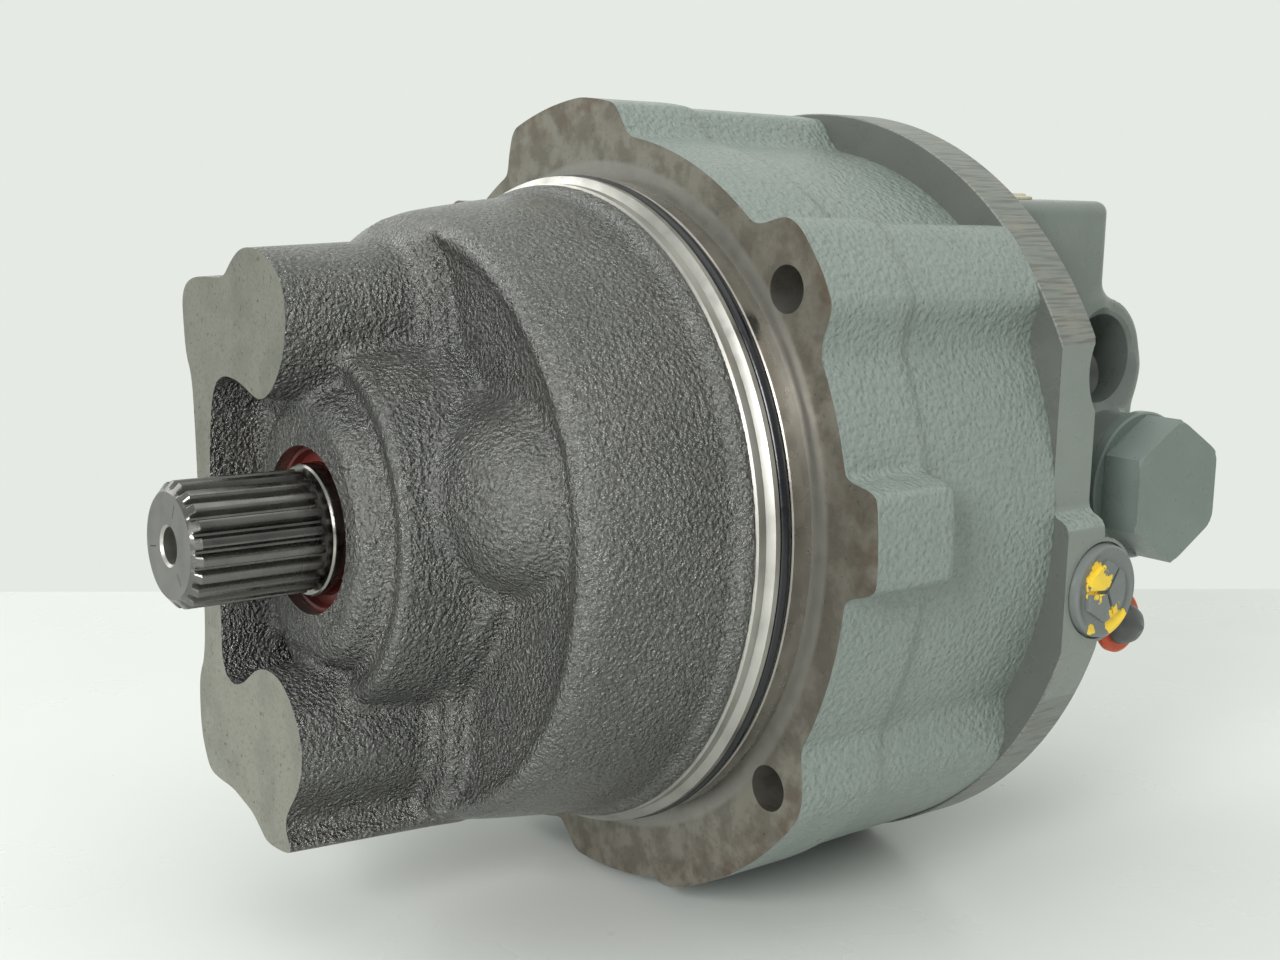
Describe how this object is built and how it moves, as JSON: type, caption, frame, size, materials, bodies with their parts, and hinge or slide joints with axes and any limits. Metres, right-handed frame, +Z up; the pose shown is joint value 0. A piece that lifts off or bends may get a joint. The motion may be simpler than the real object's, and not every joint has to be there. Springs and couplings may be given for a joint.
{
  "type": "plug-in axial piston hydraulic motor",
  "caption": "Plug-in hydraulic motor with a splined shaft, a stepped raw-iron nose and pilot with O-ring, a lobed mounting flange, a ribbed painted housing and a ported end cover",
  "frame": {"origin": "centre of the mounting flange face, on the shaft axis", "axes": "the splined shaft points along -X, the end cover lies towards +X, +Z is up as the motor stands on its columns"},
  "size_m": [0.3235, 0.248, 0.2466],
  "materials": {
    "raw_casting": "sand cast, bare and oily, machined faces brighter; the rear columns are sprayed grey green",
    "painted_casting": "semi-gloss grey green paint over sand-cast iron",
    "painted_steel": "smooth grey green paint",
    "dark_steel": "blackened or phosphated steel",
    "ground_steel": "ground and hardened",
    "bright_steel": "machined and hardened, oiled",
    "bearing_bronze": "bearing bronze",
    "black_rubber": "smooth black nitrile",
    "red_rubber": "red seal rubber",
    "orange_plastic": "moulded",
    "cap_plastic": "moulded transport cap"
  },
  "bodies": {
    "casing": {"motor_housing": "raw_casting", "end_cover": "painted_casting", "end_cover_screws": "dark_steel", "large_plug_washer": "dark_steel", "large_hex_plug": "painted_steel", "sealed_plug": "painted_steel", "top_port_cap": "cap_plastic", "bleed_nipple": "dark_steel", "bleed_nipple_ring": "orange_plastic", "bleed_nipple_cap": "painted_steel", "pilot_oring": "black_rubber", "shaft_seal": "red_rubber", "end_cover_seal": "black_rubber", "front_bearing_outer_ring": "ground_steel", "rear_bearing_outer_ring": "ground_steel", "swashplate": "dark_steel", "cradle_bearing_near": "bearing_bronze", "cradle_bearing_far": "bearing_bronze", "upper_servo_piston": "ground_steel", "lower_servo_piston": "ground_steel", "valve_plate": "bearing_bronze", "valve_plate_pin": "ground_steel"},
    "rotating_group": {"drive_shaft": "bright_steel", "front_bearing_inner_ring": "ground_steel", "rear_bearing_inner_ring": "ground_steel", "cylinder_block": "ground_steel", "retainer_plate": "ground_steel", "ball_guide": "ground_steel", "spring_washer": "ground_steel", "block_circlip": "ground_steel", "block_spring": "ground_steel", "piston_1": "ground_steel", "piston_2": "ground_steel", "piston_3": "ground_steel", "piston_4": "ground_steel", "piston_5": "ground_steel", "piston_6": "ground_steel", "piston_7": "ground_steel", "piston_8": "ground_steel", "piston_9": "ground_steel", "slipper_1": "bearing_bronze", "slipper_2": "bearing_bronze", "slipper_3": "bearing_bronze", "slipper_4": "bearing_bronze", "slipper_5": "bearing_bronze", "slipper_6": "bearing_bronze", "slipper_7": "bearing_bronze", "slipper_8": "bearing_bronze", "slipper_9": "bearing_bronze"},
    "front_roller_set": {"front_bearing_rollers": "ground_steel"},
    "rear_roller_set": {"rear_bearing_rollers": "ground_steel"}
  },
  "joints": [
    {"name": "shaft_spin", "type": "hinge", "parent": "casing", "child": "rotating_group", "pos_m": [0, 0, 0], "axis": [1, 0, 0], "continuous": true},
    {"name": "front_roller_orbit", "type": "hinge", "parent": "casing", "child": "front_roller_set", "pos_m": [-0.079, 0, 0], "axis": [1, 0, 0], "continuous": true},
    {"name": "rear_roller_orbit", "type": "hinge", "parent": "casing", "child": "rear_roller_set", "pos_m": [0.0925, 0, 0], "axis": [1, 0, 0], "continuous": true}
  ],
  "couplings": [
    {"joint": "front_roller_orbit", "follows": "shaft_spin", "ratio": 0.4356},
    {"joint": "rear_roller_orbit", "follows": "shaft_spin", "ratio": 0.4165}
  ]
}
